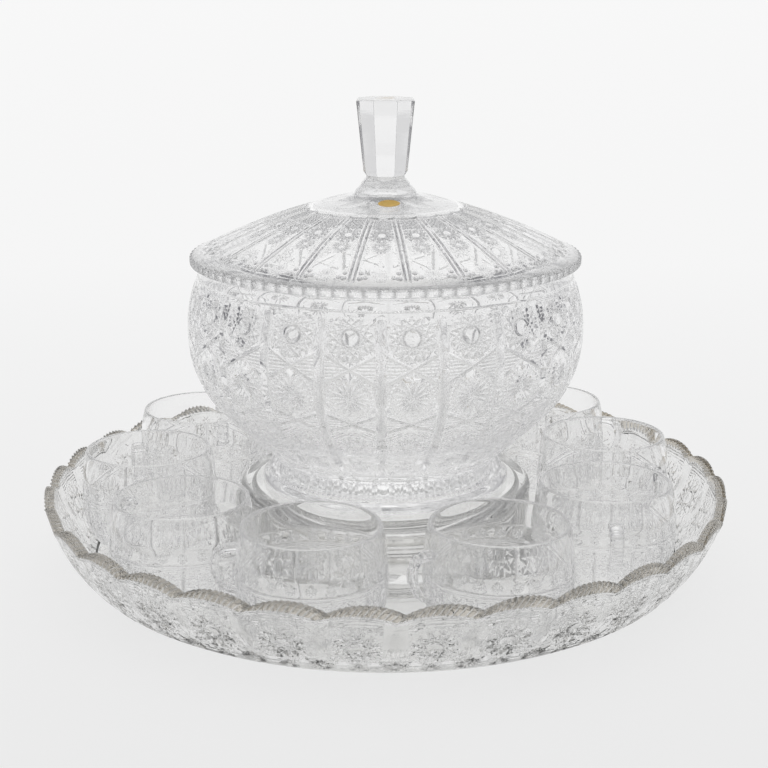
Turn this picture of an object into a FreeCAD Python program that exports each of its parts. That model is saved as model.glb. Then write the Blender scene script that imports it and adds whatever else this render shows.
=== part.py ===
"""Covered punch bowl on a tray with ten handled cups, all of cut clear glass.

Millimetres, +Z up. The origin is on the table, under the centre of the tray.
-Y is the front. Every solid is written to parts/NODE.step.
"""
import FreeCAD, Part
import math
import os
from FreeCAD import Vector, Placement, Rotation

# Tray: a wide shallow dish whose middle rises as a plain drum that carries the bowl
TRAY_RADIUS = 222.0
TRAY_HEIGHT = 52.0
TRAY_WALL = 7.0
TRAY_FOOT_RADIUS = 190.0
TRAY_FOOT_WIDTH = 12.0
TRAY_FOOT_TURN = (196.5, 4.0)
TRAY_WALL_OUT = (213.5, 27.0)
TRAY_WALL_IN = (207.8, 28.0)
TRAY_FLOOR_TOP = 8.0
TRAY_FLOOR_UNDER = 1.5
TRAY_FLOOR_RADIUS = 192.0
SCALLOPS = 32
SCALLOP_DROP = 6.0
SCALLOP_VALLEY_ANGLE = -88.5
DRUM_TOP_RADIUS = 91.0
DRUM_RADIUS = 95.0
DRUM_FLARE_RADIUS = 104.0
DRUM_FLARE_MID = (97.6, 12.2)
DRUM_LOW = (95.5, 22.0)
DRUM_HIGH = (95.0, 46.0)
DRUM_EDGE = (94.0, 50.4)
DRUM_WALL = 7.0
KICK_BEVEL = 5.0
KICK_FLARE = (96.0, 1.5)
KICK_LOW = (89.5, 7.5)

# Bowl: round body with mitre grooves, joined to a fluted foot
PANELS = 22
BOWL_GROOVE_ANGLE = -91.1
GROOVE_WIDTH = 1.8
GROOVE_DEPTH = 1.2
CUTTER_CLEARANCE = 2.0
SEAT_Z = TRAY_HEIGHT
FOOT_RADIUS = 80.3
FOOT_DISC = 3.0
FOOT_BEVEL = (79.1, 56.5)
FOOT_HOLLOW = [(66.0, 52.0), (60.0, 57.0)]
FLUTE_DEPTH = 0.9
FLUTE_HALF_WIDTH = 2.4
FLUTE_CLEARANCE = 2.0
FOOT_TOP_Z = 71.0
FOOT_TOP_RADIUS = 73.0
FOOT_BAND_Z = 58.6
FOOT_BAND_RADIUS = 76.8
BOWL_UNDERSIDE = (92.6, 88.6)
BOWL_SHOULDER = (111.7, 108.0)
BOWL_FLANK = (122.0, 126.0)
BOWL_BELLY = (126.4, 149.0)
BOWL_NECK = (124.6, 172.0)
BOWL_RIM_Z = 196.4
BOWL_RIM_RADIUS = 115.5
BOWL_WALL = 5.5
BOWL_FLOOR_RADIUS = 58.0
BOWL_FLOOR_Z = 82.0
BOWL_FLOOR_DIP = 1.0
BOWL_INSIDE_MIDS = [(118.9, 171.0), (116.9, 129.0), (84.5, 92.6)]
BOWL_INSIDE_SHOULDER = (107.1, 111.0)
BOWL_GROOVE_POINTS = [(103.5, 99.0), (126.4, 149.0), (120.5, 186.0)]
BOWL_GROOVE_SPAN = (-48.0, 38.0)

# Lid: domed cover with a notched edge, a skirt inside the bowl's rim, and an eight-sided knob
LID_RADIUS = 124.0
LID_EDGE_HEIGHT = 4.6
LID_BEVEL = (116.5, 203.8)
LID_DOME_MID = (70.0, 223.8)
LID_CROWN_RADIUS = 22.0
LID_CROWN_Z = 238.5
LID_GROOVE_ANGLE = -83.5
LID_WALL = 6.0
LID_INSIDE_MID = (64.0, 219.8)
LID_INSIDE_CROWN_RADIUS = 16.0
LID_INSIDE_SHOULDER = 4.0
LID_SKIRT_RADIUS = 109.3
LID_SKIRT_DEPTH = 5.4
LID_SKIRT_WALL = 5.0
LID_RIB_PATH = [(50.0, 230.85), (83.5, 218.6), (112.5, 205.75)]
LID_NOTCHES = 88
NOTCH_DEPTH = 1.4
NOTCH_HALF_WIDTH = 2.2
KNOB_SIDES = 8
KNOB_SECTIONS = [
    (20.5, 238.5),
    (20.5, 240.0),
    (16.6, 243.6),
    (16.6, 244.6),
    (12.8, 248.6),
    (12.8, 250.2),
    (14.9, 253.2),
    (19.6, 296.3),
    (18.6, 297.5),
]
LABEL_LENGTH = 13.5
LABEL_WIDTH = 9.5
LABEL_THICKNESS = 0.3
LABEL_DISTANCE = 28.5
LABEL_TURN = 4.4

# Cups: round bellied cups with an applied ear handle, standing on the tray's floor
CUP_HEIGHT = 64.6
CUP_RIM_RADIUS = 40.2
CUP_BELLY_RADIUS = 43.8
CUP_BELLY_HEIGHT = 36.0
CUP_BASE_RADIUS = 27.0
CUP_WALL = 2.2
CUP_FLOOR = 5.0
CUP_FLOOR_RADIUS = 22.0
# points of the cup's walls between its base and its rim, as radius and height above the base
CUP_FOOT_CURVE = (35.6, 4.4)
CUP_WAIST = (41.0, 12.0)
CUP_FLANK = (43.2, 23.0)
CUP_NECK = (43.0, 50.0)
CUP_INSIDE_NECK = (40.5, 50.0)
CUP_INSIDE_BELLY = (41.0, 36.0)
CUP_INSIDE_FLANK = (39.8, 24.0)
CUP_INSIDE_WAIST = (36.6, 13.5)
CUP_INSIDE_FOOT = (31.0, 7.4)
HANDLE_WIDTH = 8.0
HANDLE_REACH = 58.0
HANDLE_TOP = 54.0
HANDLE_BOTTOM = 22.5
HANDLE_THICKNESS = 5.2
HANDLE_NOTCH = 1.0
HANDLE_ROOT = 38.0
HANDLE_SHOULDER = 45.0
# centre x, centre y, handle direction in degrees, anticlockwise from +X
CUPS = [
    (-131.3, 89.6, 78),
    (-155.1, -6.2, 108),
    (-121.5, -102.5, 142),
    (-41.9, -150.1, 182),
    (64.9, -145.2, 205),
    (134.9, -74.2, 270),
    (146.9, 25.6, 307),
    (114.8, 109.4, 345),
    (35.3, 153.0, 22),
    (-56.5, 146.8, 49),
]

AXIS = Vector(0, 0, 1)
CENTRE = Vector(0, 0, 0)


def at(r, z):
    """Point of the half section through the axis, in the XZ plane."""
    return Vector(r, 0, z)


def line(a, b):
    return Part.LineSegment(at(*a), at(*b)).toShape()


def arc(a, middle, b):
    return Part.Arc(at(*a), at(*middle), at(*b)).toShape()


def turned(edges):
    """Solid of revolution of a closed half section."""
    face = Part.Face(Part.Wire(edges))
    return face.revolve(CENTRE, AXIS, 360)


def polyline(points):
    return [line(a, b) for a, b in zip(points, points[1:])]


def around(shape, angle):
    """Copy of a shape turned about the object's axis."""
    copy = shape.copy()
    copy.rotate(CENTRE, AXIS, angle)
    return copy


def ring_of(shape, count, first_angle):
    step = 360.0 / count
    return [around(shape, first_angle + step * i) for i in range(count)]


def mitre_groove(path_edges):
    """V-section cutter that follows a meridian of a round wall."""
    path = Part.Wire(path_edges)
    first = path.Edges[0]
    start = first.valueAt(first.FirstParameter)
    along = first.tangentAt(first.FirstParameter)
    outward = Vector(-along.z, 0, along.x)
    if outward.z < 0:
        outward = outward * -1
    outward.normalize()
    clear = CUTTER_CLEARANCE / 4
    spread = Vector(0, GROOVE_WIDTH / 2 * (GROOVE_DEPTH + clear) / GROOVE_DEPTH, 0)
    tip = start - outward * GROOVE_DEPTH
    left = start + outward * clear + spread
    right = start + outward * clear - spread
    section = Part.makePolygon([tip, left, right, tip])
    return path.makePipeShell([section], True, False)


def circle_through(a, b, c):
    """Centre and radius of the circle through three points of the half section."""
    circle = Part.Arc(at(*a), at(*b), at(*c)).toShape().Curve
    return circle.Center, circle.Radius


def mitre_ring(points, span):
    """V-edged cutting ring that follows three points of a round wall."""
    centre, radius = circle_through(*points)
    tip = centre + Vector(radius - GROOVE_DEPTH, 0, 0)
    half = GROOVE_WIDTH / 2 * (GROOVE_DEPTH + CUTTER_CLEARANCE) / GROOVE_DEPTH
    left = centre + Vector(radius + CUTTER_CLEARANCE, half, 0)
    right = centre + Vector(radius + CUTTER_CLEARANCE, -half, 0)
    section = Part.Face(Part.makePolygon([tip, left, right, tip]))
    section.rotate(centre, Vector(0, 1, 0), -span[0])
    return section.revolve(centre, Vector(0, 1, 0), span[0] - span[1])


def tray():
    foot = (TRAY_FOOT_RADIUS, 0)
    rim_out = (TRAY_RADIUS, TRAY_HEIGHT)
    rim_in = (TRAY_RADIUS - TRAY_WALL, TRAY_HEIGHT)
    floor_edge = (TRAY_FLOOR_RADIUS, TRAY_FLOOR_TOP)
    flare = (DRUM_FLARE_RADIUS, TRAY_FLOOR_TOP)
    drum_top = (DRUM_TOP_RADIUS, TRAY_HEIGHT)
    kick_radius = DRUM_RADIUS - DRUM_WALL
    kick_top = TRAY_HEIGHT - DRUM_WALL
    recess_radius = TRAY_FOOT_RADIUS - TRAY_FOOT_WIDTH
    section = [
        line(foot, TRAY_FOOT_TURN),
        arc(TRAY_FOOT_TURN, TRAY_WALL_OUT, rim_out),
        line(rim_out, rim_in),
        arc(rim_in, TRAY_WALL_IN, floor_edge),
        line(floor_edge, flare),
        arc(flare, DRUM_FLARE_MID, DRUM_LOW),
        line(DRUM_LOW, DRUM_HIGH),
        arc(DRUM_HIGH, DRUM_EDGE, drum_top),
    ]
    section += polyline([
        drum_top,
        (0, TRAY_HEIGHT),
        (0, kick_top),
        (kick_radius - KICK_BEVEL, kick_top),
        (kick_radius, kick_top - KICK_BEVEL),
        KICK_LOW,
        KICK_FLARE,
        (recess_radius, TRAY_FLOOR_UNDER),
        (recess_radius + TRAY_FLOOR_UNDER, 0),
        foot,
    ])
    body = turned(section)
    half = (TRAY_RADIUS - 2 * TRAY_WALL) * math.tan(math.pi / SCALLOPS)
    swell = (half ** 2 + SCALLOP_DROP ** 2) / (2 * SCALLOP_DROP)
    mid_drop = swell - math.sqrt(swell ** 2 - (half / 2) ** 2)
    crest, valley = TRAY_HEIGHT, TRAY_HEIGHT - SCALLOP_DROP
    inside, above = TRAY_RADIUS - 4 * TRAY_WALL, TRAY_HEIGHT + SCALLOP_DROP

    def upright(y, z):
        return Vector(inside, y, z)

    outline = Part.Wire([
        Part.Arc(upright(-half, crest), upright(-half / 2, crest - mid_drop), upright(0, valley)).toShape(),
        Part.Arc(upright(0, valley), upright(half / 2, crest - mid_drop), upright(half, crest)).toShape(),
        Part.LineSegment(upright(half, crest), upright(half, above)).toShape(),
        Part.LineSegment(upright(half, above), upright(-half, above)).toShape(),
        Part.LineSegment(upright(-half, above), upright(-half, crest)).toShape(),
    ])
    gap = Part.Face(outline).extrude(Vector(8 * TRAY_WALL, 0, 0))
    return body.cut(ring_of(gap, SCALLOPS, SCALLOP_VALLEY_ANGLE))


def bowl_outer_edges():
    """Outer meridian of the bowl from the foot up to the rim."""
    return [
        arc((FOOT_TOP_RADIUS, FOOT_TOP_Z), BOWL_UNDERSIDE, BOWL_SHOULDER),
        arc(BOWL_SHOULDER, BOWL_FLANK, BOWL_BELLY),
        arc(BOWL_BELLY, BOWL_NECK, (BOWL_RIM_RADIUS, BOWL_RIM_Z)),
    ]


def bowl_body():
    neck_in, flank_in, underside_in = BOWL_INSIDE_MIDS
    rim_in = (BOWL_RIM_RADIUS - BOWL_WALL, BOWL_RIM_Z)
    belly_in = (BOWL_BELLY[0] - BOWL_WALL, BOWL_BELLY[1])
    floor_edge = (BOWL_FLOOR_RADIUS, BOWL_FLOOR_Z)
    section = bowl_outer_edges() + [
        line((BOWL_RIM_RADIUS, BOWL_RIM_Z), rim_in),
        arc(rim_in, neck_in, belly_in),
        arc(belly_in, flank_in, BOWL_INSIDE_SHOULDER),
        arc(BOWL_INSIDE_SHOULDER, underside_in, floor_edge),
    ]
    section += polyline([
        floor_edge,
        (0, BOWL_FLOOR_Z - BOWL_FLOOR_DIP),
        (0, FOOT_TOP_Z),
        (FOOT_TOP_RADIUS, FOOT_TOP_Z),
    ])
    groove = mitre_ring(BOWL_GROOVE_POINTS, BOWL_GROOVE_SPAN)
    return turned(section).cut(ring_of(groove, PANELS, BOWL_GROOVE_ANGLE))


def bowl_foot():
    """Thick foot disc with a fluted band; it is hollowed a little underneath."""
    section = polyline([
        (0, FOOT_TOP_Z),
        (FOOT_TOP_RADIUS, FOOT_TOP_Z),
        (FOOT_BAND_RADIUS, FOOT_BAND_Z),
        FOOT_BEVEL,
        (FOOT_RADIUS, SEAT_Z + FOOT_DISC),
        (FOOT_RADIUS, SEAT_Z),
        *FOOT_HOLLOW,
        (0, FOOT_HOLLOW[-1][1]),
        (0, FOOT_TOP_Z),
    ])
    low, high = FOOT_BAND_Z + 1.0, FOOT_TOP_Z - 1.5
    outside = FOOT_BAND_RADIUS + FLUTE_CLEARANCE
    flute = Part.makePolygon([
        Vector(FOOT_TOP_RADIUS - FLUTE_DEPTH, 0, low),
        Vector(outside, FLUTE_HALF_WIDTH, low),
        Vector(outside, -FLUTE_HALF_WIDTH, low),
        Vector(FOOT_TOP_RADIUS - FLUTE_DEPTH, 0, low),
    ])
    groove = Part.Face(flute).extrude(Vector(-FLUTE_DEPTH, 0, high - low))
    return turned(section).cut(ring_of(groove, 2 * PANELS, BOWL_GROOVE_ANGLE))


def lid_dome():
    edge_low, edge_high = BOWL_RIM_Z, BOWL_RIM_Z + LID_EDGE_HEIGHT
    skirt_low = BOWL_RIM_Z - LID_SKIRT_DEPTH
    skirt_in = LID_SKIRT_RADIUS - LID_SKIRT_WALL
    shoulder_in = (skirt_in, BOWL_RIM_Z + LID_INSIDE_SHOULDER)
    crown_in = (LID_INSIDE_CROWN_RADIUS, LID_CROWN_Z - LID_WALL)
    crown = (LID_CROWN_RADIUS, LID_CROWN_Z)
    section = [line((0, LID_CROWN_Z), crown), arc(crown, LID_DOME_MID, LID_BEVEL)]
    section += polyline([
        LID_BEVEL,
        (LID_RADIUS, edge_high),
        (LID_RADIUS, edge_low),
        (LID_SKIRT_RADIUS, edge_low),
        (LID_SKIRT_RADIUS, skirt_low),
        (skirt_in, skirt_low),
        shoulder_in,
    ])
    section += [
        arc(shoulder_in, LID_INSIDE_MID, crown_in),
        line(crown_in, (0, LID_CROWN_Z - LID_WALL)),
        line((0, LID_CROWN_Z - LID_WALL), (0, LID_CROWN_Z)),
    ]
    rib = mitre_groove([arc(*LID_RIB_PATH)])
    below, outside = edge_low - 1.0, LID_RADIUS + 1.0
    notch = Part.Face(Part.makePolygon([
        Vector(LID_RADIUS - NOTCH_DEPTH, 0, below),
        Vector(outside, NOTCH_HALF_WIDTH, below),
        Vector(outside, -NOTCH_HALF_WIDTH, below),
        Vector(LID_RADIUS - NOTCH_DEPTH, 0, below),
    ])).extrude(Vector(0, 0, edge_high - below))
    cutters = ring_of(rib, PANELS, LID_GROOVE_ANGLE) + ring_of(notch, LID_NOTCHES, LID_GROOVE_ANGLE)
    return turned(section).cut(cutters)


def lid_knob():
    """Eight-sided knob that widens upwards, over a stepped collar."""
    sections = []
    for radius, height in KNOB_SECTIONS:
        corners = []
        for i in range(KNOB_SIDES + 1):
            angle = math.radians(-90 + 360.0 / KNOB_SIDES * (i + 0.5))
            corners.append(Vector(radius * math.cos(angle), radius * math.sin(angle), height))
        sections.append(Part.makePolygon(corners))
    return Part.makeLoft(sections, True, True)


def lid_label():
    """Thin oval foil on the front of the crown, bent to the dome."""
    skin = LABEL_THICKNESS
    low_in = (LID_CROWN_RADIUS, LID_CROWN_Z)
    high_in = LID_BEVEL
    slope = math.atan2(LID_CROWN_Z - LID_BEVEL[1], LID_BEVEL[0] - LID_CROWN_RADIUS)
    push = (skin * math.sin(slope), skin * math.cos(slope))

    def outer(point):
        return (point[0] + push[0], point[1] + push[1])

    band = turned([
        arc(low_in, LID_DOME_MID, high_in),
        line(high_in, outer(high_in)),
        arc(outer(high_in), outer(LID_DOME_MID), outer(low_in)),
        line(outer(low_in), low_in),
    ])
    oval = Part.Ellipse(CENTRE, LABEL_LENGTH / 2, LABEL_WIDTH / 2).toShape()
    prism = Part.Face(Part.Wire([oval])).extrude(Vector(0, 0, LID_CROWN_Z))
    prism.translate(Vector(0, -LABEL_DISTANCE, LID_CROWN_Z / 2))
    return around(band.common(prism), LABEL_TURN)


def raised(point, base_z):
    return (point[0], point[1] + base_z)


def cup_outer_edges(base_z):
    waist = raised(CUP_WAIST, base_z)
    belly = (CUP_BELLY_RADIUS, base_z + CUP_BELLY_HEIGHT)
    rim = (CUP_RIM_RADIUS, base_z + CUP_HEIGHT)
    return [
        arc((CUP_BASE_RADIUS, base_z), raised(CUP_FOOT_CURVE, base_z), waist),
        arc(waist, raised(CUP_FLANK, base_z), belly),
        arc(belly, raised(CUP_NECK, base_z), rim),
    ]


def cup_body(base_z):
    rim_in = (CUP_RIM_RADIUS - CUP_WALL, base_z + CUP_HEIGHT)
    belly_in = raised(CUP_INSIDE_BELLY, base_z)
    waist_in = raised(CUP_INSIDE_WAIST, base_z)
    floor_edge = (CUP_FLOOR_RADIUS, base_z + CUP_FLOOR)
    section = cup_outer_edges(base_z) + [
        line((CUP_RIM_RADIUS, base_z + CUP_HEIGHT), rim_in),
        arc(rim_in, raised(CUP_INSIDE_NECK, base_z), belly_in),
        arc(belly_in, raised(CUP_INSIDE_FLANK, base_z), waist_in),
        arc(waist_in, raised(CUP_INSIDE_FOOT, base_z), floor_edge),
    ]
    section += polyline([
        floor_edge,
        (0, base_z + CUP_FLOOR),
        (0, base_z),
        (CUP_BASE_RADIUS, base_z),
    ])
    return turned(section)


def cup_filled(base_z):
    return turned(cup_outer_edges(base_z) + [
        line((CUP_RIM_RADIUS, base_z + CUP_HEIGHT), (0, base_z + CUP_HEIGHT)),
        line((0, base_z + CUP_HEIGHT), (0, base_z)),
        line((0, base_z), (CUP_BASE_RADIUS, base_z)),
    ])


def notched(a, b, count):
    """Points from a to b with small V cuts on the right-hand side of the way."""
    dx, dz = (b[0] - a[0]) / count, (b[1] - a[1]) / count
    length = math.hypot(dx, dz)
    inward = (dz / length * HANDLE_NOTCH, -dx / length * HANDLE_NOTCH)
    points = [a]
    for i in range(count):
        start = (a[0] + dx * i, a[1] + dz * i)
        points.append((start[0] + dx / 2 + inward[0], start[1] + dz / 2 + inward[1]))
        points.append((start[0] + dx, start[1] + dz))
    return points


def cup_handle(base_z):
    """Ear handle with thumb notches, cut to lie against the cup's wall."""
    top, bottom = base_z + HANDLE_TOP, base_z + HANDLE_BOTTOM
    reach = HANDLE_REACH
    outer = [(HANDLE_ROOT, top - 1.0), (HANDLE_SHOULDER, top)]
    outer += notched((HANDLE_SHOULDER, top), (54.5, top - 3.0), 3)[1:]
    outer += notched((54.5, top - 3.0), (reach, top - 10.0), 2)[1:]
    outer += [(reach - 0.4, top - 18.0)]
    outer += notched((reach - 0.4, top - 18.0), (53.0, bottom + 3.0), 3)[1:]
    outer += [(46.0, bottom), (HANDLE_ROOT, bottom)]
    thick = HANDLE_THICKNESS
    inner = [
        (HANDLE_ROOT, bottom + thick),
        (45.5, bottom + thick),
        (49.6, bottom + thick + 3.0),
        (reach - thick - 0.2, top - 17.0),
        (reach - thick, top - 11.0),
        (51.0, top - thick - 1.6),
        (HANDLE_SHOULDER, top - thick),
        (HANDLE_ROOT, top - thick - 1.0),
        (HANDLE_ROOT, top - 1.0),
    ]
    outline = [Vector(r, -HANDLE_WIDTH / 2, z) for r, z in outer + inner]
    ear = Part.Face(Part.makePolygon(outline)).extrude(Vector(0, HANDLE_WIDTH, 0))
    return ear.cut(cup_filled(base_z))


def placed(shape, x, y, angle):
    copy = shape.copy()
    copy.Placement = Placement(Vector(x, y, 0), Rotation(AXIS, angle))
    return copy


def save(node, shape):
    solids = shape.Solids
    if len(solids) != 1 or not solids[0].isValid():
        raise RuntimeError("%s: %d solids" % (node, len(solids)))
    solids[0].exportStep(os.path.join("parts", node + ".step"))
    print("%-16s %9.1f cm3" % (node, solids[0].Volume / 1000))


os.makedirs("parts", exist_ok=True)
save("tray", tray())
save("bowl_body", bowl_body())
save("bowl_foot", bowl_foot())
save("lid_dome", lid_dome())
save("lid_knob", lid_knob())
save("lid_label", lid_label())
one_cup = cup_body(TRAY_FLOOR_TOP)
one_handle = cup_handle(TRAY_FLOOR_TOP)
for number, (cup_x, cup_y, handle_angle) in enumerate(CUPS, 1):
    save("cup_body_%02d" % number, placed(one_cup, cup_x, cup_y, handle_angle))
    save("cup_handle_%02d" % number, placed(one_handle, cup_x, cup_y, handle_angle))
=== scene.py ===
import math

import bpy
import numpy as np
from mathutils import Matrix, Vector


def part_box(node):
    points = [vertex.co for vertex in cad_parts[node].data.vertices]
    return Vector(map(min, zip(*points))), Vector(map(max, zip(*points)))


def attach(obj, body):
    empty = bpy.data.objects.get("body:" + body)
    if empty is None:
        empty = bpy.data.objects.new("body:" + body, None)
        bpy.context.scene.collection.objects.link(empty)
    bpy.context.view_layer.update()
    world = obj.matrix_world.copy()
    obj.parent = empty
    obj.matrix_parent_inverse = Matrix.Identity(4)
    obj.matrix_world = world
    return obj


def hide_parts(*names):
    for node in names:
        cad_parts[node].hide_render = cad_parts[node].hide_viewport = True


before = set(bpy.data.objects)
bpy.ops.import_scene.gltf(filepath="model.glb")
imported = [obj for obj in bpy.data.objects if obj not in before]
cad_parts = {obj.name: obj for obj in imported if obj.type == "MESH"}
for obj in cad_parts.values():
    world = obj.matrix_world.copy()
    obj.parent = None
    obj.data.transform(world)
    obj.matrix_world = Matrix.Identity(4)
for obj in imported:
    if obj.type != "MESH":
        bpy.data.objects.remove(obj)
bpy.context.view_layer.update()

# ---------------------------------------------------------------------------------------------
# Tray. A wide, shallow dish of clear lead glass with 32 scallops, blown thick and cut by wheel
# all over its outer wall. A rope of slanted notches runs along the rim, and the middle rises
# into a plain hollow drum that carries the bowl. Sizes are in millimetres until the last step.
# ---------------------------------------------------------------------------------------------
MM = 0.001
SCALLOPS = 32
SCALLOP_DROP = 6.0
SCALLOP_TURN = math.radians(-88.5 + 180 / SCALLOPS)
ROPE_NOTCHES = 12
ROPE_HEIGHT = 4.2
ROPE_SLANT = 0.65
TRAY_HEIGHT = 52.0


def meridian(start, *runs):
    """Half section as (radius, height) points. A run is (spacing, end), or (spacing, middle, end) for an arc."""
    points = [np.array(start, float)]
    for spacing, *through in runs:
        a, b = points[-1], np.array(through[-1], float)
        if len(through) == 1:
            count = max(1, round(float(np.linalg.norm(b - a)) / spacing))
            points += [a + (b - a) * k / count for k in range(1, count + 1)]
            continue
        middle = np.array(through[0], float)
        sides = 2 * np.array([middle - a, b - a])
        centre = np.linalg.solve(sides, [middle @ middle - a @ a, b @ b - a @ a])
        turns = [math.atan2(*(p - centre)[::-1]) for p in (a, middle, b)]
        first, last = (math.remainder(turns[i + 1] - turns[i], math.tau) for i in (0, 1))
        sweep, radius = first + last, float(np.linalg.norm(a - centre))
        count = max(1, round(abs(sweep) * radius / spacing))
        for k in range(1, count + 1):
            turn = turns[0] + sweep * k / count
            points.append(centre + radius * np.array([math.cos(turn), math.sin(turn)]))
    return np.array(points)


def lengths(outline):
    """Distance along a half section from its start to each of its points."""
    steps = np.linalg.norm(np.diff(outline, axis=0), axis=1)
    return np.concatenate([[0], np.cumsum(steps)])


def coordinates(obj):
    flat = np.zeros(len(obj.data.vertices) * 3)
    obj.data.vertices.foreach_get("co", flat)
    return flat.reshape(-1, 3)


def put_coordinates(obj, points):
    obj.data.vertices.foreach_set("co", np.asarray(points, float).ravel())
    obj.data.update()


def put_attribute(obj, name, values):
    layer = obj.data.attributes.get(name) or obj.data.attributes.new(name, "FLOAT", "POINT")
    layer.data.foreach_set("value", np.asarray(values, np.float32))


def attribute(obj, name):
    values = np.zeros(len(obj.data.vertices), np.float32)
    obj.data.attributes[name].data.foreach_get("value", values)
    return values


def only(obj):
    bpy.ops.object.select_all(action="DESELECT")
    obj.select_set(True)
    bpy.context.view_layer.objects.active = obj


def edit(obj, action="SELECT"):
    only(obj)
    bpy.ops.object.mode_set(mode="EDIT")
    bpy.ops.mesh.select_all(action=action)


def done():
    bpy.ops.object.mode_set(mode="OBJECT")


def spun(name, outline, steps, sweep=math.tau):
    """Shell swept round the upright axis from a half section."""
    mesh = bpy.data.meshes.new(name)
    edges = [(i, i + 1) for i in range(len(outline) - 1)]
    mesh.from_pydata([(r, 0, z) for r, z in outline], edges, [])
    obj = bpy.data.objects.new(name, mesh)
    bpy.context.scene.collection.objects.link(obj)
    put_attribute(obj, "row", np.arange(len(outline)))
    put_attribute(obj, "across", np.zeros(len(outline)))
    put_attribute(obj, "along", lengths(outline))
    put_attribute(obj, "cut", np.zeros(len(outline)))
    edit(obj)
    bpy.ops.mesh.spin(steps=steps, angle=sweep, center=(0, 0, 0), axis=(0, 0, 1))
    bpy.ops.mesh.select_all(action="SELECT")
    bpy.ops.mesh.remove_doubles(threshold=0.001)
    done()
    return obj


def open_edge_vertices(obj):
    """Mask of the vertices on a shell's open edges."""
    corner_edges = np.zeros(len(obj.data.loops), int)
    obj.data.loops.foreach_get("edge_index", corner_edges)
    uses = np.bincount(corner_edges, minlength=len(obj.data.edges))
    ends = np.zeros(len(obj.data.edges) * 2, int)
    obj.data.edges.foreach_get("vertices", ends)
    mask = np.zeros(len(obj.data.vertices), bool)
    mask[ends.reshape(-1, 2)[uses == 1].ravel()] = True
    return mask


def cut_ring(name, outline, panels, columns, carve, faces, bend=None):
    """Shell of like cut panels: half a panel is spun, carved, thinned to its facets, mirrored and repeated."""
    half = math.pi / panels
    obj = spun(name, outline, columns, half)
    row = attribute(obj, "row").round().astype(int)
    slope = np.gradient(outline, axis=0)
    slope /= np.linalg.norm(slope, axis=1)[:, None]
    points = coordinates(obj)
    angle = np.abs(np.arctan2(points[:, 1], points[:, 0]))
    radius, height = outline[row, 0], outline[row, 1]
    along = lengths(outline)[row]
    across = radius * angle
    depth = carve(across, radius * half - across, along, height)
    radius = radius - depth * slope[row, 1]
    height = height + depth * slope[row, 0]
    if bend:
        height = bend(across, height)
    put_coordinates(obj, np.stack([radius * np.cos(angle), radius * np.sin(angle), height], 1))
    put_attribute(obj, "across", across)
    put_attribute(obj, "cut", depth)
    thin = obj.modifiers.new("thin", "DECIMATE")
    thin.ratio = faces / (2 * len(obj.data.polygons))
    only(obj)
    bpy.ops.object.modifier_apply(modifier=thin.name)
    points = coordinates(obj)
    angle, radius = np.arctan2(points[:, 1], points[:, 0]), np.hypot(points[:, 0], points[:, 1])
    rim, near = open_edge_vertices(obj), 0.12
    angle[rim & (radius * np.abs(angle) < near)] = 0
    angle[rim & (radius * np.abs(half - angle) < near)] = half
    put_coordinates(obj, np.stack([radius * np.cos(angle), radius * np.sin(angle), points[:, 2]], 1))
    edit(obj)
    bpy.ops.mesh.duplicate()
    bpy.ops.transform.resize(value=(1, -1, 1), center_override=(0, 0, 0))
    bpy.ops.mesh.flip_normals()
    bpy.ops.mesh.select_all(action="SELECT")
    sweep = math.tau * (panels - 1) / panels
    bpy.ops.mesh.spin(steps=panels - 1, angle=sweep, dupli=True, center=(0, 0, 0), axis=(0, 0, 1))
    bpy.ops.mesh.select_all(action="DESELECT")
    bpy.ops.mesh.select_mode(type="VERT")
    bpy.ops.mesh.select_non_manifold(extend=False)
    bpy.ops.mesh.remove_doubles(threshold=0.005)
    done()
    return obj


def joined(name, *shells):
    """One mesh from shells whose round open edges lie side by side, two and two."""
    only(shells[0])
    for shell in shells[1:]:
        shell.select_set(True)
    bpy.ops.object.join()
    obj = bpy.context.object
    obj.name = obj.data.name = name
    return obj


def close_seam(obj, radius, height, reach=1.5):
    """Bridges the two open edges that lie beside a circle of that radius and height."""
    points, rim = coordinates(obj), open_edge_vertices(obj)
    away = np.hypot(np.hypot(points[:, 0], points[:, 1]) - radius, points[:, 2] - height)
    chosen = rim & (away < reach)
    edit(obj, "DESELECT")
    bpy.ops.mesh.select_mode(type="VERT")
    done()
    ends = np.zeros(len(obj.data.edges) * 2, int)
    obj.data.edges.foreach_get("vertices", ends)
    obj.data.vertices.foreach_set("select", chosen)
    obj.data.edges.foreach_set("select", chosen[ends.reshape(-1, 2)].all(1))
    bpy.ops.object.mode_set(mode="EDIT")
    bpy.ops.mesh.select_mode(type="EDGE")
    bpy.ops.mesh.bridge_edge_loops()
    done()


def finished(obj, turn=0.0, crease=22.0):
    """Faces outwards, turned to its place, brought from millimetres to metres, facets left crisp."""
    edit(obj)
    bpy.ops.mesh.select_mode(type="FACE")
    bpy.ops.mesh.normals_make_consistent(inside=False)
    done()
    obj.data.transform(Matrix.Scale(MM, 4) @ Matrix.Rotation(turn, 4, "Z"))
    only(obj)
    bpy.ops.object.shade_smooth_by_angle(angle=math.radians(crease))
    return obj


def wheel_cut(distance, depth, width):
    """Depth of a V cut at a distance from its middle line."""
    return depth * np.clip(1 - 2 * np.abs(distance) / width, 0, None)


def star(x, y, rays, inner, outer, depth):
    """Ring of V cuts side by side that radiate from a point and run out at both ends."""
    reach, spacing = np.hypot(x, y), math.tau / rays
    aside = np.abs(np.remainder(np.arctan2(x, y) + spacing / 2, spacing) - spacing / 2) * reach
    run = np.clip((reach - inner) / (outer - inner) * 4, 0, 1) * np.clip((outer - reach) / (outer - inner) * 2.5, 0, 1)
    return wheel_cut(aside, depth * run, np.maximum(spacing * reach * (0.35 + 0.65 * run), 0.01))


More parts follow.
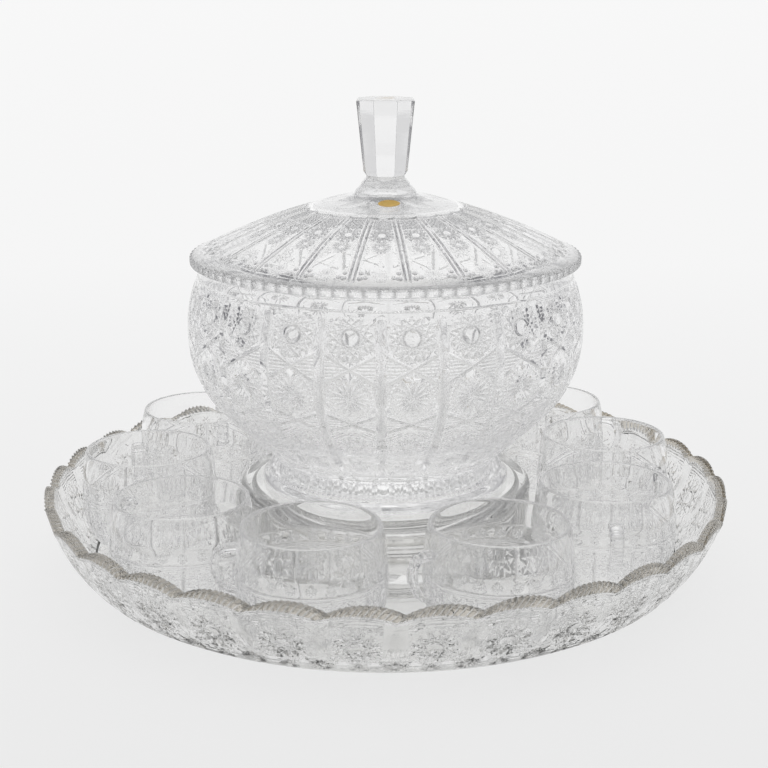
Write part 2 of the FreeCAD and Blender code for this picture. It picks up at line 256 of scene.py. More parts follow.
def hobstar(x, y, points, inner, outer, depth, width):
    """Star of V cuts that cross each other, each one touching a round middle."""
    reach, deepest = np.hypot(x, y), np.zeros_like(x)
    for k in range(points):
        turn = math.tau * (k + 0.5) / points
        aside = x * math.sin(turn) + y * math.cos(turn) - inner
        deepest = np.maximum(deepest, wheel_cut(aside, depth, width))
    return deepest * np.clip((outer - reach) / 2, 0, 1)


def punty(x, y, radius, depth):
    """Round hollow ground by the edge of a small wheel."""
    return depth * np.clip(1 - (x ** 2 + y ** 2) / radius ** 2, 0, None)


def fan(across, spacing, depth):
    """Row of fine V cuts side by side."""
    return wheel_cut(np.remainder(across, spacing) - spacing / 2, depth, spacing)


TRAY_OUTER = meridian(
    (190, 0), (0.5, (196.5, 4)), (0.4, (213.5, 27), (221.4, 50)), (0.4, (220.8, 51.8), (219.2, 52)),
    (0.8, (217, 52)), (0.5, (215.4, 51.4), (214.8, 50)), (1.0, (211.6, 38)))
tray_pitch = math.tau * 219 / SCALLOPS
scallop_half = 208 * math.tan(math.pi / SCALLOPS)
scallop_swell = (scallop_half ** 2 + SCALLOP_DROP ** 2) / (2 * SCALLOP_DROP)


def carve_tray(across, edge, along, height):
    wall_end = lengths(TRAY_OUTER)[np.argmin(np.abs(TRAY_OUTER[:, 1] - 50))]
    wall = np.clip((wall_end - ROPE_HEIGHT - along) / 1.0, 0, 1) * np.clip(along / 3, 0, 1)
    share = across / (across + edge)
    notch = np.remainder(share * ROPE_NOTCHES / 2, 1) - 0.5
    rope_run = np.clip((along - wall_end + ROPE_HEIGHT) / 1.2, 0, 1) * np.clip((wall_end + 9 - along) / 3, 0, 1)
    rope = wheel_cut(notch, 1.55, 0.9) * rope_run
    middle, low = 33.0, 13.5
    up = along - middle
    deepest = hobstar(across, up, 12, 5.5, 14.5, 0.9, 2.6)
    deepest = np.maximum(deepest, star(across, up, 24, 14.5, 17.5, 0.4))
    deepest = np.maximum(deepest, punty(across, up, 4.2, 0.5))
    deepest = np.maximum(deepest, punty(edge / 0.55, along - 37, 11, 0.9))
    deepest = np.maximum(deepest, star(edge, along - low, 16, 1.5, 8.5, 0.7))
    deepest = np.maximum(deepest, wheel_cut(edge - (up + 22) * 0.9, 0.7, 1.8) * (along < 21))
    deepest = np.maximum(deepest, star(across, along - 9.5, 14, 1.2, 6.8, 0.6))
    outside = (np.hypot(across, up) > 17.8) & (edge > 6.5) & (along > 21)
    deepest = np.maximum(deepest, fan(along, 2.2, 0.4) * outside)
    deepest = np.maximum(deepest, wheel_cut(along - wall_end + ROPE_HEIGHT + 1.2, 0.6, 2.0))
    return np.maximum(deepest * wall, rope)


def scalloped(across, height):
    """Lowers the rim between the lobes; each lobe is an arc, and two lobes meet in a sharp valley."""
    share = np.clip((height - 30) / (TRAY_HEIGHT - 30), 0, 1)
    side = across / (math.pi * 218 / SCALLOPS) * scallop_half
    drop = scallop_swell - np.sqrt(np.maximum(scallop_swell ** 2 - side ** 2, 0))
    return height - drop * share ** 2


tray_wall = cut_ring("tray_wall", TRAY_OUTER, SCALLOPS, 60, carve_tray, 2660, scalloped)
rope_start = lengths(TRAY_OUTER)[np.argmin(np.abs(TRAY_OUTER[:, 1] - 50))] - ROPE_HEIGHT
on_rope = attribute(tray_wall, "along") - rope_start
lean = np.clip(on_rope, 0, 2 * ROPE_HEIGHT) * ROPE_SLANT / 218
x, y, z = coordinates(tray_wall).T
put_coordinates(tray_wall, np.stack([x * np.cos(lean) - y * np.sin(lean), x * np.sin(lean) + y * np.cos(lean), z], 1))
# Painted shade: the rope band and the rim top above it get a darker, warm-tinted colour through a raised cut value.
put_attribute(tray_wall, "cut", attribute(tray_wall, "cut") + 1.0 * np.clip(on_rope, 0, 1) * np.clip(15 - on_rope, 0, 1))
tray_plain = spun("tray_plain", meridian(
    (211.3, 37.2), (3, (207.0, 27.5), (193.5, 9.2)), (1.5, (191, 8)), (14, (105, 8)),
    (1.5, (97.6, 12.2), (95.5, 22)), (6, (95, 46)), (1, (94, 50.4), (91, 51.7)), (4, (80, 51.7)), (20, (0, 51.7))), 160)
tray_under = spun("tray_under", meridian(
    (0, 45), (20, (83, 45)), (1.5, (87, 43.5), (88, 40)), (8, (89.5, 7.5)), (2, (91, 3), (96, 1.5)),
    (20, (178, 1.5)), (1, (179.5, 0)), (4, (189.4, 0))), 160)
x, y, z = coordinates(tray_under).T
put_attribute(tray_under, "frost", 0.06 * ((np.hypot(x, y) < 95) & (z < 44)))
tray = joined("tray_glass", tray_wall, tray_plain, tray_under)
close_seam(tray, 211.45, 37.6)
close_seam(tray, 189.7, 0)
finished(tray, SCALLOP_TURN)
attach(tray, "tray")
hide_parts("tray")


def add_node(tree, kind, **settings):
    """New node with its own settings; names given as in0, in1... are values of its inputs."""
    node = tree.nodes.new(kind)
    for key, value in settings.items():
        if key[:2] == "in" and key[2:].isdigit():
            node.inputs[int(key[2:])].default_value = value
        else:
            setattr(node, key, value)
    return node


def cut_look():
    """Node group: by the cut attribute the glass is hazier and lined by the grit, and its colour is painted greyer
    where cut and darker in the deepest cuts, as painted shade.
    """
    tree = bpy.data.node_groups.new("cut_look", "ShaderNodeTree")
    for name, kind, way in (
            ("Clear", "NodeSocketColor", "INPUT"), ("Cut Shade", "NodeSocketColor", "INPUT"),
            ("Deep Shade", "NodeSocketColor", "INPUT"), ("Depth", "NodeSocketFloat", "INPUT"),
            ("Haze", "NodeSocketFloat", "INPUT"), ("Line Spacing", "NodeSocketFloat", "INPUT"),
            ("Color", "NodeSocketColor", "OUTPUT"), ("Roughness", "NodeSocketFloat", "OUTPUT"),
            ("Height", "NodeSocketFloat", "OUTPUT")):
        tree.interface.new_socket(name, in_out=way, socket_type=kind)
    given, result = tree.nodes.new("NodeGroupInput"), tree.nodes.new("NodeGroupOutput")
    link = tree.links.new
    across, along, cut, frost = (
        add_node(tree, "ShaderNodeAttribute", attribute_name=n) for n in ("across", "along", "cut", "frost"))
    ratio = add_node(tree, "ShaderNodeMath", operation="DIVIDE")
    link(cut.outputs["Fac"], ratio.inputs[0])
    link(given.outputs["Depth"], ratio.inputs[1])
    ground = add_node(tree, "ShaderNodeMapRange", in1=0.08, in2=1.0)
    deep_shade = add_node(tree, "ShaderNodeMapRange", in1=1.0, in2=1.5)
    # Painted shade: the colour turns greyer where cut and darker still in the deepest cuts.
    greyer = add_node(tree, "ShaderNodeMix", data_type="RGBA")
    deep_shaded = add_node(tree, "ShaderNodeMix", data_type="RGBA")
    for mask in (ground, deep_shade):
        link(ratio.outputs[0], mask.inputs["Value"])
    link(ground.outputs["Result"], greyer.inputs["Factor"])
    link(given.outputs["Clear"], greyer.inputs["A"])
    link(given.outputs["Cut Shade"], greyer.inputs["B"])
    link(deep_shade.outputs["Result"], deep_shaded.inputs["Factor"])
    link(greyer.outputs["Result"], deep_shaded.inputs["A"])
    link(given.outputs["Deep Shade"], deep_shaded.inputs["B"])
    link(deep_shaded.outputs["Result"], result.inputs["Color"])
    haze = add_node(tree, "ShaderNodeMath", operation="MULTIPLY_ADD")
    link(ground.outputs["Result"], haze.inputs[0])
    link(given.outputs["Haze"], haze.inputs[1])
    link(frost.outputs["Fac"], haze.inputs[2])
    link(haze.outputs[0], result.inputs["Roughness"])
    slant = add_node(tree, "ShaderNodeMath", operation="MULTIPLY_ADD", in1=0.6)
    link(across.outputs["Fac"], slant.inputs[0])
    link(along.outputs["Fac"], slant.inputs[2])
    lines = add_node(tree, "ShaderNodeMath", operation="PINGPONG")
    link(slant.outputs[0], lines.inputs[0])
    link(given.outputs["Line Spacing"], lines.inputs[1])
    height = add_node(tree, "ShaderNodeMath", operation="MULTIPLY")
    link(lines.outputs[0], height.inputs[0])
    link(ground.outputs["Result"], height.inputs[1])
    link(height.outputs[0], result.inputs["Height"])
    return tree


def crystal(name, clear, ground, deep_shade, depth, haze, line_spacing):
    """Lead glass. The colours are those of plain glass and of the painted shade of a common cut and of the deepest
    cuts.
    """
    material = bpy.data.materials.new(name)
    material.use_nodes = True
    tree = material.node_tree
    shader = tree.nodes["Principled BSDF"]
    shader.inputs["Transmission Weight"].default_value = 1.0
    shader.inputs["IOR"].default_value = 1.545
    look = add_node(tree, "ShaderNodeGroup", node_tree=bpy.data.node_groups.get("cut_look") or cut_look())
    for socket, value in (("Clear", (*clear, 1)), ("Cut Shade", (*ground, 1)), ("Deep Shade", (*deep_shade, 1)),
                          ("Depth", depth), ("Haze", haze), ("Line Spacing", line_spacing)):
        look.inputs[socket].default_value = value
    bump = add_node(tree, "ShaderNodeBump")
    bump.inputs["Distance"].default_value = 0.1 * MM
    bump.inputs["Strength"].default_value = 0.35
    tree.links.new(look.outputs["Color"], shader.inputs["Base Color"])
    tree.links.new(look.outputs["Roughness"], shader.inputs["Roughness"])
    tree.links.new(look.outputs["Height"], bump.inputs["Height"])
    tree.links.new(bump.outputs["Normal"], shader.inputs["Normal"])
    return material


# Its cut and deep colours are painted shade; the deep one is warm-tinted.
tray.data.materials.append(crystal(
    "tray_crystal", (0.94, 0.94, 0.935), (0.78, 0.78, 0.77), (0.52, 0.47, 0.39), 0.9, 0.18, 0.4))

# ---------------------------------------------------------------------------------------------
# Bowl. A round body of 22 cut panels between upright mitre grooves, on a fluted foot with a
# clear disc under it. Body and foot are one piece of glass, so they are one mesh here.
# ---------------------------------------------------------------------------------------------
PANELS = 22
BOWL_TURN = math.radians(-91.1)
BOWL_OUTER = meridian(
    (76.8, 58.6), (0.35, (73, 71)), (0.35, (92.6, 88.6), (111.7, 108)), (0.35, (122, 126), (126.4, 149)),
    (0.35, (125.9, 165.5), (119.8, 187.6)))


def bowl_height(height):
    """Distance along the bowl's wall at a height above the table."""
    return float(np.interp(height, BOWL_OUTER[:, 1], lengths(BOWL_OUTER)))


def carve_bowl(across, edge, along, height):
    def up(level):
        return along - bowl_height(level)

    mitre = wheel_cut(edge, 2.1, 6.0)
    wide = across + edge - 3.0
    deepest = hobstar(across, up(174), 14, 6.0, 14.0, 0.9, 2.6)
    from_disc = np.hypot(across, up(174)) - 5.2
    deepest = np.where(from_disc < 0, 0.15, deepest)
    deepest = np.maximum(deepest, wheel_cut(from_disc, 1.7, 2.0))
    for level, rise in ((156.0, 8.0), (121.5, 6.0)):
        aside, steep = up(level), rise / 14.5
        for sign in (1, -1):
            arm = (aside - sign * across * steep) / math.hypot(1, steep)
            deepest = np.maximum(deepest, wheel_cut(arm, 1.1, 2.8) * (np.abs(aside) < rise + 1.2))
        side = (np.abs(aside) < np.maximum(across - 2.5, 0) * steep)
        deepest = np.maximum(deepest, fan(aside + 1, 2.0, 0.5) * side)
    field = up(137.8)
    deepest = np.maximum(deepest, star(across, field, 16, 0.5, 11.8, 1.1))
    deepest = np.maximum(deepest, star(across, field, 32, 12.0, 14.5, 0.5) * (np.abs(field) < 11))
    deepest = np.maximum(deepest, hobstar(across, up(105), 12, 4.0, 11.0, 0.8, 2.2))
    deepest = np.maximum(deepest, punty(across, up(105), 3.4, 0.6))
    deepest = np.maximum(deepest, star(across, up(86.5), 14, 0.8, 9.5, 0.8))
    deepest = np.maximum(deepest, wheel_cut(up(94.5), 0.6, 1.6))
    deepest = np.maximum(deepest, wheel_cut(up(77.0), 0.6, 1.6))
    corner = (np.hypot(across, up(105)) > 11.3) & (height > 95) & (height < 116)
    deepest = np.maximum(deepest, fan(along + across * 0.6, 2.3, 0.45) * corner)
    deepest = np.maximum(deepest, punty(edge, up(74), 5.5, 0.8))
    body = np.clip((wide - across) / 0.8, 0, 1) * np.clip((height - 72.5) / 1.0, 0, 1)
    run = np.clip((up(187.6) + 2.0) / -1.5, 0, 1)
    flutes = fan(across / (across + edge) * 3.0, 1.0, 1.0) * np.clip((height - 59.6) / 1.5, 0, 1)
    flutes = flutes * np.clip((70.2 - height) / 1.0, 0, 1)
    mitre = mitre * np.clip((height - 79) / 6, 0, 1)
    return np.maximum.reduce([np.maximum(deepest * body, mitre) * run, flutes])


bowl_wall = cut_ring("bowl_wall", BOWL_OUTER, PANELS, 56, carve_bowl, 3880)
x, y, _ = coordinates(bowl_wall).T
pitch = math.tau / PANELS
to_mitre = np.hypot(x, y) * np.abs(np.remainder(np.arctan2(y, x), pitch) - pitch / 2)
bowl_cut = attribute(bowl_wall, "cut")
# Painted shade: along the mitre grooves the darkening of the cuts is eased to about a third.
put_attribute(bowl_wall, "cut", np.where(to_mitre < 3.2, 0.35 * bowl_cut, bowl_cut))
bowl_rim = spun("bowl_rim", meridian(
    (119.2, 188.0), (0.6, (119.6, 189.2)), (2, (117.8, 193), (115.9, 195.6)), (0.5, (115.0, 196.4)), (3, (110.5, 196.4)),
    (0.7, (109.8, 195.6)), (4, (118.9, 171), (120.9, 149)), (4, (116.9, 129), (107.1, 111)),
    (4, (84.5, 92.6), (58, 82)), (12, (0, 81))), 176)
bowl_base = spun("bowl_base", meridian(
    (0, 57), (12, (58, 57)), (1.5, (62, 56), (66, 52.3)), (4, (78.8, 52.3)), (0.7, (79.9, 52.7), (80.3, 53.8)),
    (0.6, (80.3, 55)), (0.8, (79.1, 56.5)), (1, (77.2, 58.2))), 176)
bowl = joined("bowl_glass", bowl_wall, bowl_rim, bowl_base)
close_seam(bowl, 119.5, 187.8)
close_seam(bowl, 77.0, 58.4)
finished(bowl, BOWL_TURN + math.pi / PANELS)
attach(bowl, "bowl")
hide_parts("bowl_body", "bowl_foot")
# The second and third colours are painted shade of the cuts.
bowl.data.materials.append(crystal(
    "bowl_crystal", (1.0, 1.0, 1.0), (0.82, 0.82, 0.82), (0.55, 0.55, 0.55), 1.0, 0.10, 0.4))

# ---------------------------------------------------------------------------------------------
# Lid. A domed cover with 22 pairs of radiating cuts, a polished bevel and a notched edge. Its
# clear crown has eight oval facets round a solid eight-sided knob that widens upwards.
# ---------------------------------------------------------------------------------------------
LID_TURN = math.radians(-83.5)
LID_OUTER = meridian(
    (124, 197.2), (0.35, (124, 200.4)), (0.4, (123.8, 200.9), (123.3, 201.2)), (0.45, (116.5, 203.8)),
    (0.5, (82.0, 219.4), (45.5, 231.9)))


def carve_lid(across, edge, along, height):
    radius = np.interp(along, lengths(LID_OUTER), LID_OUTER[:, 0])
    share = across / (across + edge)
    notch = (np.remainder(share * 2, 1) - 0.5) * 8.85
    scoop = 1.5 * np.clip(1 - (notch / 3.9) ** 2, 0, None) * np.clip((radius - 122.0) / 1.2, 0, 1)
    dome = np.clip((115.6 - radius) / 0.8, 0, 1) * np.clip((radius - 46.5) / 1.0, 0, 1)
    rib = wheel_cut(edge - 1.4, 1.4, 1.7) * (radius > 52)
    inside = np.clip((edge - 2.9) / 0.5, 0, 1)
    feather = fan(radius + across * 0.9, 2.6, 0.14) * (radius > 80) * (radius < 110)
    rosette = hobstar(across, radius - 71.0, 12, 3.0, 8.6, 1.15, 1.5)
    fringe = star(across, radius - 84.0, 14, 1.0, 6.5, 1.1)
    foot = star(across, radius - 111.0, 18, 1.0, 6.0, 0.5)
    spots = [punty(edge - e, radius - r, wide, 2.2) for e, r, wide in ((4.8, 112.0, 2.0), (4.6, 107.6, 1.5), (7.8, 111.4, 1.5))]
    lattice = np.maximum(fan(radius + across, 2.8, 1.2), fan(radius - across, 2.8, 1.2)) * (radius < 63) * (radius > 52.5)
    scallop = wheel_cut(radius - 49.0 - 2.2 * np.sqrt(np.clip(1 - share ** 2, 0, 1)), 1.2, 2.2)
    ring = wheel_cut(radius - 63.5, 0.9, 1.6)
    deepest = np.maximum.reduce([feather, rosette, fringe, foot, lattice, ring, *spots]) * inside
    return np.maximum(np.maximum.reduce([deepest, rib, scallop]) * dome, scoop)


def octagonal(obj, first, last):
    """Turns round sections into eight-sided ones: not at all at the first height, fully from the last one up."""
    points = coordinates(obj)
    angle, radius = np.arctan2(points[:, 1], points[:, 0]), np.hypot(points[:, 0], points[:, 1])
    off = np.abs(np.remainder(angle + math.pi / 8, math.pi / 4) - math.pi / 8)
    flat = radius * math.cos(math.pi / 8) / np.cos(off)
    share = np.clip((points[:, 2] - first) / (last - first), 0, 1)
    radius = radius + (flat - radius) * share
    put_coordinates(obj, np.stack([radius * np.cos(angle), radius * np.sin(angle), points[:, 2]], 1))


FACET_AT, FACET_WIDE, FACET_LONG, FACET_DEPTH = 31.0, 11.3, 9.6, 0.9


def faceted(obj):
    """Eight shallow oval facets ground into the crown round the knob."""
    points = coordinates(obj)
    angle, radius = np.arctan2(points[:, 1], points[:, 0]), np.hypot(points[:, 0], points[:, 1])
    off = np.remainder(angle + math.pi / 8, math.pi / 4) - math.pi / 8
    inside = 1 - (radius * off / FACET_WIDE) ** 2 - ((radius - FACET_AT) / FACET_LONG) ** 2
    points[:, 2] -= FACET_DEPTH * np.clip(inside, 0, None)
    put_coordinates(obj, points)


lid_wall = cut_ring("lid_wall", LID_OUTER, PANELS, 52, carve_lid, 3600)
reach = np.hypot(*coordinates(lid_wall).T[:2])
lid_cut = attribute(lid_wall, "cut")
# Painted highlights and shade: on the notched edge the scoops are left clear and the glass between them is painted
# dark; the bevel is painted grey and the middle of the lid a little darker.
put_attribute(lid_wall, "cut", np.where(reach > 121.5, np.clip(1.3 - lid_cut, 0, None), lid_cut + 0.75 * (reach > 116.2) + 0.1 * (reach < 80)))
crown = spun("lid_crown", meridian((45.1, 232.1), (0.8, (33, 235.6), (21.6, 238.3))), 256)
faceted(crown)
knob = spun("lid_knob_glass", meridian(
    (21.2, 238.4), (0.4, (20.5, 238.9)), (1.1, (20.5, 240.0)), (1, (16.8, 243.4)), (0.5, (16.6, 244.6)), (1, (12.9, 248.4)),
    (0.5, (12.8, 250.2)), (0.8, (14.7, 252.8)), (0.5, (14.95, 253.5)), (11, (19.55, 296.0)), (0.3, (19.5, 296.6)),
    (0.5, (18.8, 297.3)), (0.3, (18.4, 297.5)), (9, (0, 297.5))), 64)
octagonal(knob, 238.45, 239.2)
# Painted shade: the whole crown is painted grey and the knob partly grey, through their cut values.
put_attribute(crown, "cut", np.full(len(crown.data.vertices), 0.95))
put_attribute(knob, "cut", np.full(len(knob.data.vertices), 0.5))
for part in (crown, knob):
    part.data.transform(Matrix.Rotation(-math.pi / 2 - LID_TURN - math.pi / PANELS, 4, "Z"))
lid_under = spun("lid_under", meridian(
    (0, 232.5), (8, (16, 232.5)), (4, (64, 219.8), (104.3, 200.4)), (2, (104.3, 192)), (0.7, (105, 191)), (2, (108.6, 191)),
    (0.7, (109.3, 191.8)), (3, (109.3, 196)), (0.7, (110, 196.6)), (5, (123.2, 196.6)), (0.3, (123.8, 196.9))), 176)
lid = joined("lid_glass", lid_wall, crown, knob, lid_under)
close_seam(lid, 45.3, 232.0)
close_seam(lid, 21.4, 238.35, 0.8)
close_seam(lid, 123.9, 197.05, 2.0)
finished(lid, LID_TURN + math.pi / PANELS)
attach(lid, "lid")
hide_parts("lid_dome", "lid_knob")
# The second and third colours are painted shade of the cuts.
lid.data.materials.append(crystal(
    "lid_crystal", (1.0, 1.0, 1.0), (0.82, 0.82, 0.825), (0.36, 0.36, 0.36), 0.9, 0.04, 0.4))

# ---------------------------------------------------------------------------------------------
# Label. A small oval of gold foil stuck to the front facet of the crown, with nothing on it.
# ---------------------------------------------------------------------------------------------
label_low, label_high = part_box("lid_label")
bpy.ops.object.select_all(action="DESELECT")
bpy.ops.mesh.primitive_circle_add(vertices=48, radius=0.5, fill_type="TRIFAN")
label = bpy.context.object
label.name = label.data.name = "gold_label"
bpy.ops.object.mode_set(mode="EDIT")
bpy.ops.mesh.subdivide(number_cuts=3)
done()
points = coordinates(label)
size = label_high - label_low
points[:, 0] = points[:, 0] * size.x + (label_low.x + label_high.x) / 2
points[:, 1] = points[:, 1] * size.y + (label_low.y + label_high.y) / 2
turn, reach = np.arctan2(points[:, 1], points[:, 0]), np.hypot(points[:, 0], points[:, 1]) / MM
crown_curve = meridian((45.1, 232.1), (0.8, (33, 235.6), (21.6, 238.3)))[::-1]
ground = np.interp(reach, crown_curve[:, 0], crown_curve[:, 1])
off = turn + math.pi / 2
inside = 1 - (reach * off / FACET_WIDE) ** 2 - ((reach - FACET_AT) / FACET_LONG) ** 2
points[:, 2] = (ground - FACET_DEPTH * np.clip(inside, 0, None) + 0.12) * MM
put_coordinates(label, points)
foil = label.modifiers.new("foil", "SOLIDIFY")
foil.thickness, foil.offset = 0.1 * MM, 1
only(label)
bpy.ops.object.modifier_apply(modifier=foil.name)
bpy.ops.object.shade_smooth_by_angle(angle=math.radians(40))
gold = bpy.data.materials.new("gold_foil")
gold.use_nodes = True
gold_shader = gold.node_tree.nodes["Principled BSDF"]
gold_shader.inputs["Metallic"].default_value = 1.0
gold_shader.inputs["Base Color"].default_value = (1.0, 0.68, 0.2, 1)
creases = add_node(gold.node_tree, "ShaderNodeTexNoise")
creases.inputs["Scale"].default_value = 900
worn = add_node(gold.node_tree, "ShaderNodeMapRange", in3=0.3, in4=0.5)
wrinkle = add_node(gold.node_tree, "ShaderNodeBump")
wrinkle.inputs["Distance"].default_value = 0.03 * MM
ground_place = add_node(gold.node_tree, "ShaderNodeTexCoord")
gold.node_tree.links.new(ground_place.outputs["Object"], creases.inputs["Vector"])
gold.node_tree.links.new(creases.outputs["Fac"], worn.inputs["Value"])
gold.node_tree.links.new(creases.outputs["Fac"], wrinkle.inputs["Height"])
gold.node_tree.links.new(worn.outputs["Result"], gold_shader.inputs["Roughness"])
gold.node_tree.links.new(wrinkle.outputs["Normal"], gold_shader.inputs["Normal"])
label.data.materials.append(gold)
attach(label, "lid")
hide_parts("lid_label")

# ---------------------------------------------------------------------------------------------
# Cups. Ten round punch cups with a plain lip, cut from the waist down, each with an applied
# ear handle notched for the thumb. One is made, and the others are turned copies of it.
# ---------------------------------------------------------------------------------------------
CUP_PANELS = 12
CUP_HANDLES = (78, 108, 142, 182, 205, 270, 307, 345, 22, 49)
CUP_STAND = 8.0
CUP_OUTER = meridian(
    (27.0, 0.3), (0.4, (35.6, 4.6), (41, 12)), (0.4, (43.2, 23), (43.8, 36)), (0.4, (43.6, 41), (43.1, 46)))


def carve_cup(across, edge, along, height):
    level = {h: along - float(np.interp(h, CUP_OUTER[:, 1], lengths(CUP_OUTER))) for h in (41.5, 36.8, 34.6, 24, 11.5)}
    deepest = hobstar(across, level[24], 10, 3.0, 9.6, 0.45, 1.6)
    deepest = np.maximum(deepest, punty(across, level[24], 2.4, 0.3))
    deepest = np.maximum(deepest, star(across, level[41.5], 12, 0.3, 3.4, 0.4))
    deepest = np.maximum(deepest, star(edge, level[41.5], 12, 0.3, 3.4, 0.4))
    deepest = np.maximum(deepest, star(across, level[11.5], 12, 0.4, 5.6, 0.5))
    deepest = np.maximum(deepest, wheel_cut(level[36.8], 0.4, 1.1))
    deepest = np.maximum(deepest, wheel_cut(level[34.6], 0.4, 1.1))
    side = (np.hypot(across, level[24]) > 9.8) & (level[34.6] < -0.8) & (level[11.5] > 5)
    deepest = np.maximum(deepest, fan(along, 1.6, 0.25) * side)
    mitre = wheel_cut(edge, 0.9, 2.6) * np.clip(-level[34.6] / 1.5, 0, 1) * np.clip(along / 6, 0, 1)
    return np.maximum(deepest * np.clip((height - 3) / 2, 0, 1), mitre)


cup_wall = cut_ring("cup_wall", CUP_OUTER, CUP_PANELS, 34, carve_cup, 1500)
cup_lip = spun("cup_lip", meridian(
    (43.0, 46.8), (2, (42.3, 56), (40.5, 63.8)), (0.4, (39.5, 64.6), (38.4, 64.0)), (2, (40.5, 50), (41, 36)),
    (2, (39.8, 24), (36.6, 13.5)), (2, (31, 7.4), (22, 5)), (6, (0, 5))), 96)
cup_base = spun("cup_base", meridian((0, 1.2), (6, (20, 1.2)), (1, (23, 0.1)), (1, (26.6, 0.1))), 96)
cup = joined("cup_glass", cup_wall, cup_lip, cup_base)
close_seam(cup, 43.05, 46.4, 0.8)
close_seam(cup, 26.8, 0.2, 0.8)
edit(cup)
bpy.ops.mesh.normals_make_consistent(inside=False)
done()

# the ear: a bar swept along its loop, then notched
EAR_LOOP = ((42.6, 51.4), (48, 51.6), (53.2, 49.4), (55.4, 44.0), (55.2, 38.0), (53.0, 31.0), (49.5, 27.0), (45, 25.2), (42.4, 25.0))
EAR_WIDTH, EAR_THICK = 8.0, 5.0
curve = bpy.data.curves.new("ear", "CURVE")
curve.dimensions = "3D"
spline = curve.splines.new("NURBS")
spline.points.add(len(EAR_LOOP) - 1)
for point, (r, z) in zip(spline.points, EAR_LOOP):
    point.co = (r, 0, z, 1)
spline.order_u = 3
spline.use_endpoint_u = True
spline.resolution_u = 8
route = bpy.data.objects.new("ear_route", curve)
bpy.context.scene.collection.objects.link(route)
path = bpy.data.meshes.new_from_object(route)
path_points = np.array([v.co for v in path.vertices])
bpy.data.objects.remove(route)
path_length = np.concatenate([[0], np.cumsum(np.linalg.norm(np.diff(path_points, axis=0), axis=1))])
EAR_STATIONS, EAR_SIDES = 90, 16
stations = np.linspace(0, path_length[-1], EAR_STATIONS)
middle = np.stack([np.interp(stations, path_length, path_points[:, k]) for k in (0, 2)], 1)
tangent = np.gradient(middle, axis=0)
tangent /= np.linalg.norm(tangent, axis=1)[:, None]
outward = np.stack([-tangent[:, 1], tangent[:, 0]], 1)
ear_points = []
for station, (r, z), (nr, nz) in zip(stations, middle, outward):
    share = station / path_length[-1]
    worked = (0.12 < share < 0.36) or (0.58 < share < 0.88)
    notch = 0.9 * abs(math.cos(station / 3.2 * math.pi)) if worked else 0.45
    for k in range(EAR_SIDES):
        turn = math.tau * k / EAR_SIDES
        side, out = math.cos(turn), math.sin(turn)
        side = math.copysign(abs(side) ** 0.6, side) * EAR_WIDTH / 2
        out = math.copysign(abs(out) ** 0.6, out) * EAR_THICK / 2
        out -= (0.9 - notch) if out > 1.0 and worked else 0
        ear_points.append((r + nr * out, side, z + nz * out))
ear_faces = [(i * EAR_SIDES + k, i * EAR_SIDES + (k + 1) % EAR_SIDES, (i + 1) * EAR_SIDES + (k + 1) % EAR_SIDES,
              (i + 1) * EAR_SIDES + k) for i in range(EAR_STATIONS - 1) for k in range(EAR_SIDES)]
ear_faces += [tuple(range(EAR_SIDES)), tuple(range((EAR_STATIONS - 1) * EAR_SIDES, EAR_STATIONS * EAR_SIDES))[::-1]]
ear_mesh = bpy.data.meshes.new("ear")
ear_mesh.from_pydata(ear_points, [], ear_faces)
ear = bpy.data.objects.new("ear", ear_mesh)
bpy.context.scene.collection.objects.link(ear)
edit(ear)
bpy.ops.mesh.normals_make_consistent(inside=False)
done()
union = cup.modifiers.new("ear", "BOOLEAN")
union.object, union.operation, union.solver = ear, "UNION", "EXACT"
only(cup)
bpy.ops.object.modifier_apply(modifier=union.name)
bpy.data.objects.remove(ear)
cup.data.transform(Matrix.Translation((0, 0, CUP_STAND)))
finished(cup)
# The second and third colours are a light painted shade of the cuts.
cup.data.materials.append(crystal(
    "cup_crystal", (0.995, 0.995, 0.995), (0.90, 0.90, 0.905), (0.80, 0.80, 0.80), 0.5, 0.05, 0.3))
for number, handle in enumerate(CUP_HANDLES, 1):
    low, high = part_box(f"cup_body_{number:02d}")
    piece = bpy.data.objects.new(f"cup_glass_{number:02d}", cup.data.copy())
    bpy.context.scene.collection.objects.link(piece)
    centre = Matrix.Translation(((low.x + high.x) / 2, (low.y + high.y) / 2, 0))
    piece.data.transform(centre @ Matrix.Rotation(math.radians(handle), 4, "Z"))
    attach(piece, f"cup_{number:02d}")
    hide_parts(f"cup_body_{number:02d}", f"cup_handle_{number:02d}")
bpy.data.objects.remove(cup)

# ---------------------------------------------------------------------------------------------
# Stage. A plain floor that fills the background, dark in itself but glowing pale as painted light,
# brighter toward the back; a bright room with a darker side behind the camera; and the camera itself.
# ---------------------------------------------------------------------------------------------
bpy.ops.object.select_all(action="DESELECT")
bpy.ops.mesh.primitive_plane_add(size=180, location=(0, 0, -0.0003))
floor = bpy.context.object
floor.name = "floor"
paper = bpy.data.materials.new("glowing_floor")
paper.use_nodes = True
paper_shader = paper.node_tree.nodes["Principled BSDF"]
paper_shader.inputs["Base Color"].default_value = (0.12, 0.12, 0.12, 1)
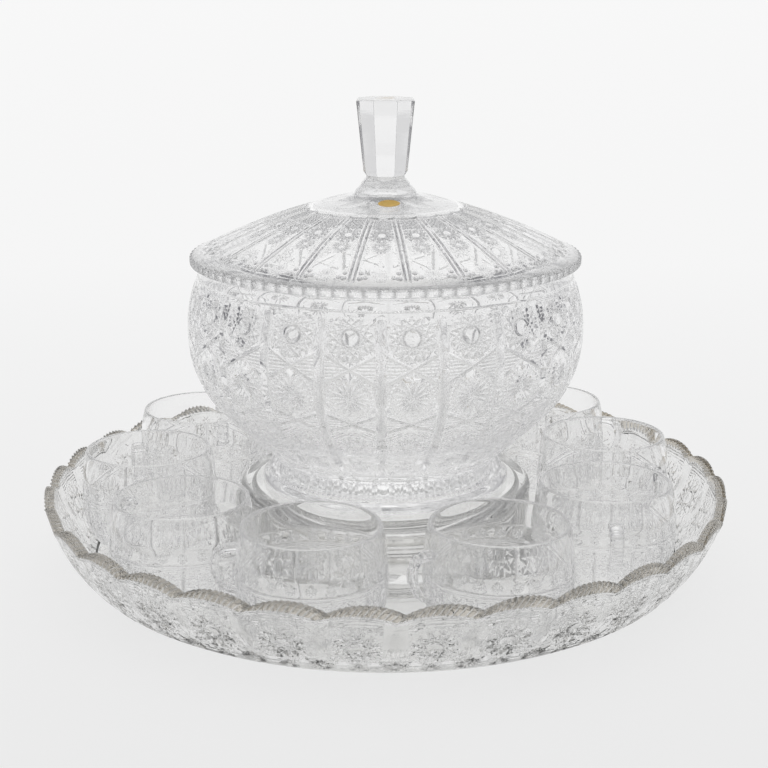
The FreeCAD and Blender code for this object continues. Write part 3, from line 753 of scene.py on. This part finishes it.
# Painted light: the dark floor glows instead of being lit, which washes out shadows, and glows brighter toward the
# back.
paper_shader.inputs["Emission Strength"].default_value = 1.0
place = add_node(paper.node_tree, "ShaderNodeTexCoord")
axes = add_node(paper.node_tree, "ShaderNodeSeparateXYZ")
backwards = add_node(paper.node_tree, "ShaderNodeMapRange", in1=-0.4, in2=1.0)
glow = add_node(paper.node_tree, "ShaderNodeMix", data_type="RGBA")
glow.inputs["A"].default_value = (0.755, 0.755, 0.755, 1)
glow.inputs["B"].default_value = (0.835, 0.835, 0.835, 1)
paper.node_tree.links.new(place.outputs["Object"], axes.inputs[0])
paper.node_tree.links.new(axes.outputs["Y"], backwards.inputs["Value"])
paper.node_tree.links.new(backwards.outputs["Result"], glow.inputs["Factor"])
paper.node_tree.links.new(glow.outputs["Result"], paper_shader.inputs["Emission Color"])
paper_shader.inputs["Roughness"].default_value = 0.9
paper_shader.inputs["Specular IOR Level"].default_value = 0.1
floor.data.materials.append(paper)

world = bpy.data.worlds.new("studio")
bpy.context.scene.world = world
world.use_nodes = True
sky = world.node_tree
toward = sky.nodes.new("ShaderNodeTexCoord")
parts = sky.nodes.new("ShaderNodeSeparateXYZ")
sky.links.new(toward.outputs["Generated"], parts.inputs[0])
ramp = sky.nodes.new("ShaderNodeValToRGB")
ramp.color_ramp.elements[0].position = 0.0
ramp.color_ramp.elements[0].color = (0.15, 0.15, 0.15, 1)
ramp.color_ramp.elements[1].position = 1.0
ramp.color_ramp.elements[1].color = (1.0, 1.0, 1.0, 1)
middle_stop = ramp.color_ramp.elements.new(0.45)
middle_stop.color = (0.85, 0.85, 0.85, 1)
remap = sky.nodes.new("ShaderNodeMapRange")
remap.inputs["From Min"].default_value = -1
remap.inputs["From Max"].default_value = 1
sky.links.new(parts.outputs["Y"], remap.inputs["Value"])
sky.links.new(remap.outputs["Result"], ramp.inputs["Fac"])
aside = add_node(sky, "ShaderNodeMath", operation="ABSOLUTE")
sides = add_node(sky, "ShaderNodeValToRGB")
sides.color_ramp.elements[0].position = 0.3
sides.color_ramp.elements[0].color = (1, 1, 1, 1)
sides.color_ramp.elements[1].position = 0.9
sides.color_ramp.elements[1].color = (0.22, 0.22, 0.24, 1)
shaded = add_node(sky, "ShaderNodeMix", data_type="RGBA", blend_type="MULTIPLY")
shaded.inputs["Factor"].default_value = 1.0
sky.links.new(parts.outputs["X"], aside.inputs[0])
sky.links.new(aside.outputs[0], sides.inputs["Fac"])
sky.links.new(ramp.outputs["Color"], shaded.inputs["A"])
sky.links.new(sides.outputs["Color"], shaded.inputs["B"])
sky.links.new(shaded.outputs["Result"], sky.nodes["Background"].inputs["Color"])

camera_data = bpy.data.cameras.new("camera")
camera = bpy.data.objects.new("camera", camera_data)
bpy.context.scene.collection.objects.link(camera)
camera.location = (0, -0.9746, 0.3803)
camera.rotation_euler = (math.radians(74.70), 0, 0)
camera_data.lens, camera_data.sensor_width = 72.68, 36.0
camera_data.shift_x = -1.5 / 768
camera_data.clip_end = 200
bpy.context.scene.camera = camera
bpy.context.scene.view_settings.view_transform = "Standard"
for kind in ("max", "transmission", "diffuse", "glossy"):
    setattr(bpy.context.scene.cycles, f"{kind}_bounces", 40)
